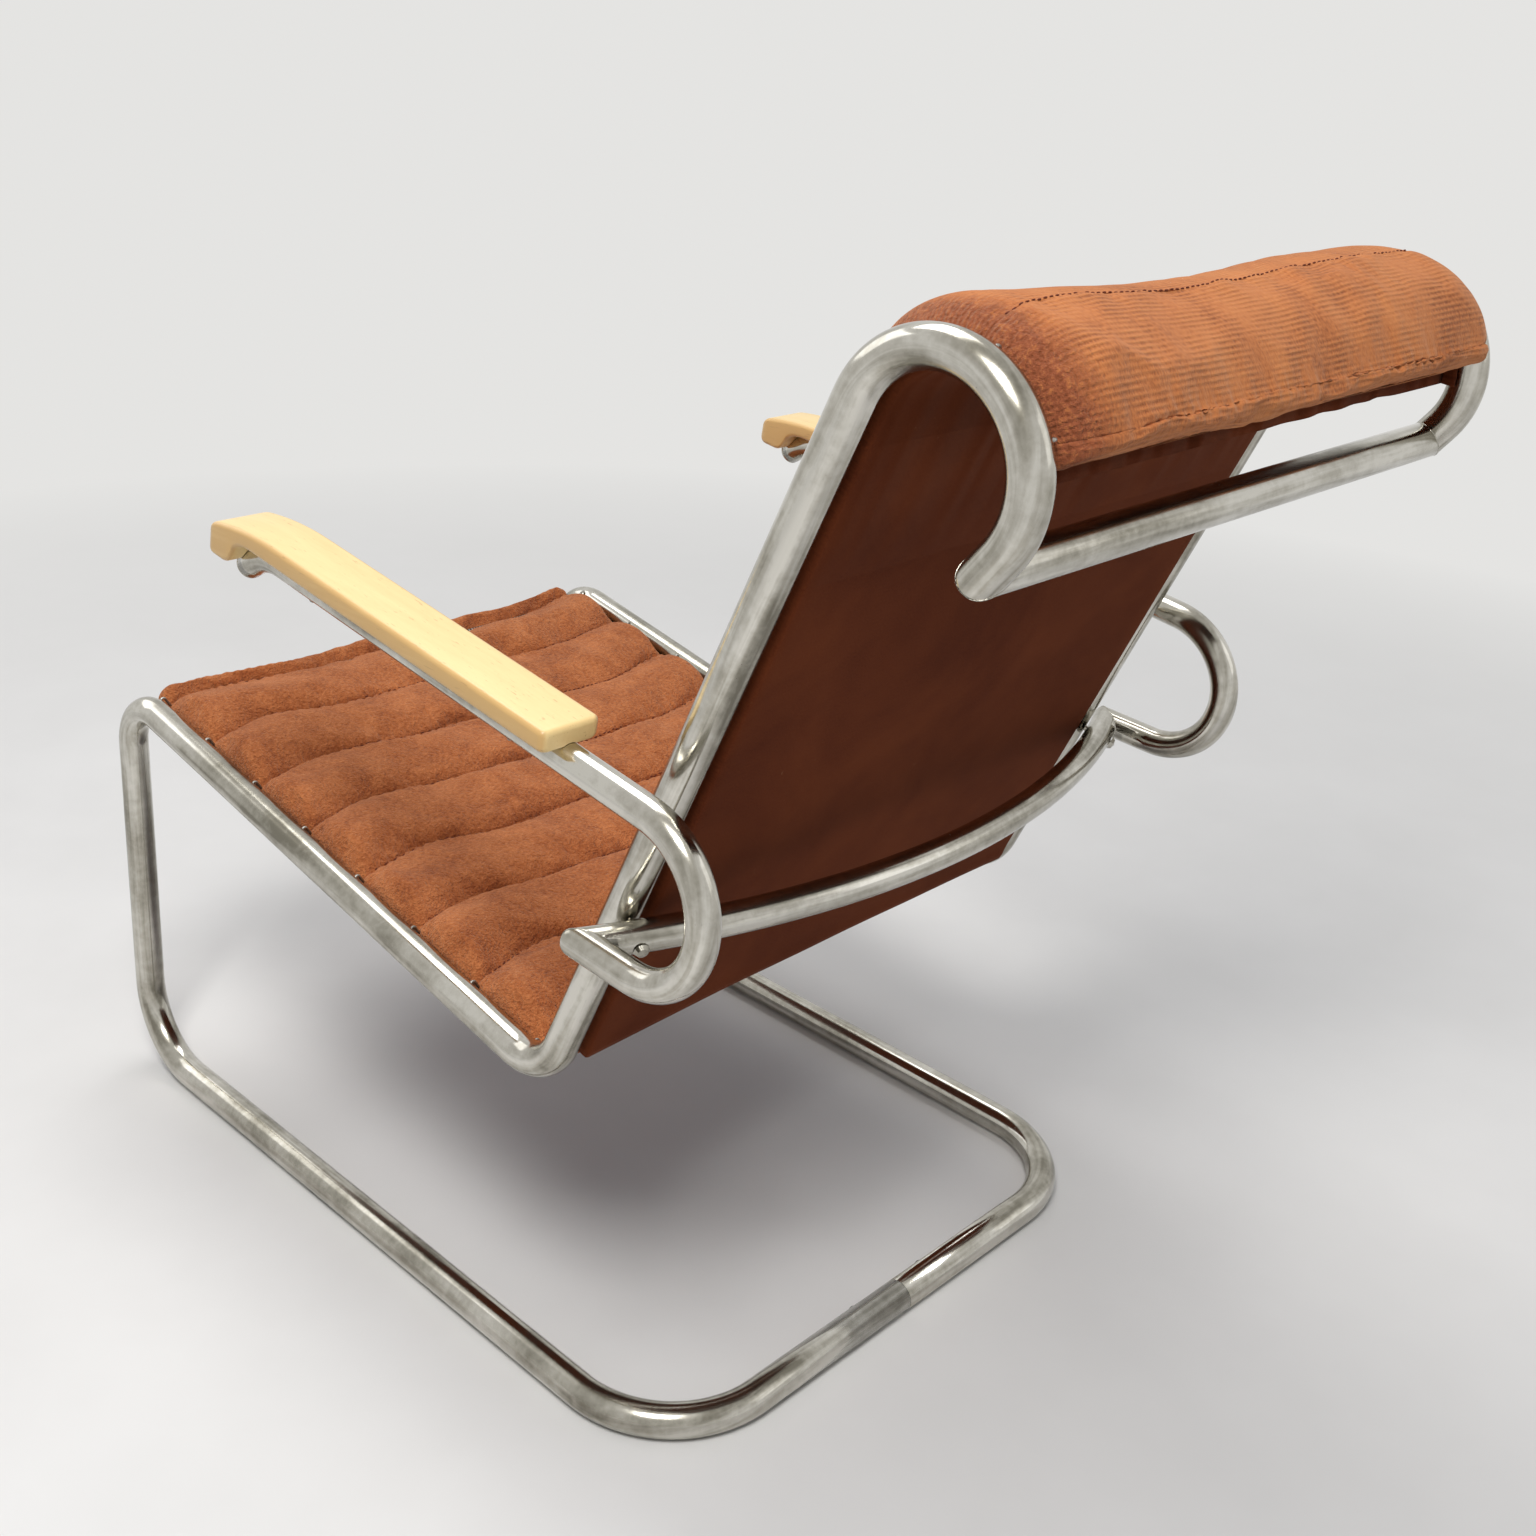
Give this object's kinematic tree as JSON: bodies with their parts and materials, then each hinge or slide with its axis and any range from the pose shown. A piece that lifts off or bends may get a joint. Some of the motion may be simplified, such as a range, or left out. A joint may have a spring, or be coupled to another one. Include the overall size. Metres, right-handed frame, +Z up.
{
  "type": "cantilever lounge chair",
  "caption": "Bent steel tube cantilever lounge chair with a sprung, channelled fabric seat, back and headrest and wood armrests on looped side tubes.",
  "frame": {"origin": "on the floor under the middle of the chair's outline", "axes": "+Z up, the sitter faces -Y, +X is the sitter's left"},
  "size_m": [0.629, 0.9656, 0.8472],
  "materials": {
    "tube_metal": "worn plating, satin with bright streaks",
    "fastener_steel": "dull zinc",
    "beech_wood": "satin lacquer",
    "pad_fabric": "matt looped pile",
    "back_fabric": "matt plain weave"
  },
  "bodies": {
    "root": {"frame_tube_left": "tube_metal", "base_joint_screw_left": "fastener_steel", "arm_tube_left": "tube_metal", "arm_bar_screw_left": "tube_metal", "arm_bar_nut_left": "fastener_steel", "arm_tube_plug_left": "tube_metal", "armrest_left": "beech_wood", "armrest_screw_left_rear": "fastener_steel", "armrest_screw_left_front": "fastener_steel", "frame_tube_right": "tube_metal", "base_joint_screw_right": "fastener_steel", "arm_tube_right": "tube_metal", "arm_bar_screw_right": "tube_metal", "arm_bar_nut_right": "fastener_steel", "arm_tube_plug_right": "tube_metal", "armrest_right": "beech_wood", "armrest_screw_right_rear": "fastener_steel", "armrest_screw_right_front": "fastener_steel", "base_joint_sleeve": "fastener_steel", "top_bar": "tube_metal", "arm_cross_bar": "tube_metal", "seat_pad": "pad_fabric", "back_pad": "pad_fabric", "headrest_pad": "pad_fabric", "seat_cloth": "back_fabric", "back_cloth": "back_fabric", "seat_spring_1": "fastener_steel", "seat_spring_2": "fastener_steel", "seat_spring_3": "fastener_steel", "seat_spring_4": "fastener_steel", "seat_spring_5": "fastener_steel", "seat_spring_6": "fastener_steel", "seat_spring_7": "fastener_steel", "seat_spring_8": "fastener_steel", "back_spring_1": "fastener_steel", "back_spring_2": "fastener_steel", "back_spring_3": "fastener_steel", "back_spring_4": "fastener_steel", "back_spring_5": "fastener_steel", "back_spring_6": "fastener_steel", "back_spring_7": "fastener_steel", "headrest_spring_1": "fastener_steel", "headrest_spring_2": "fastener_steel", "headrest_spring_3": "fastener_steel"}
  },
  "joints": []
}
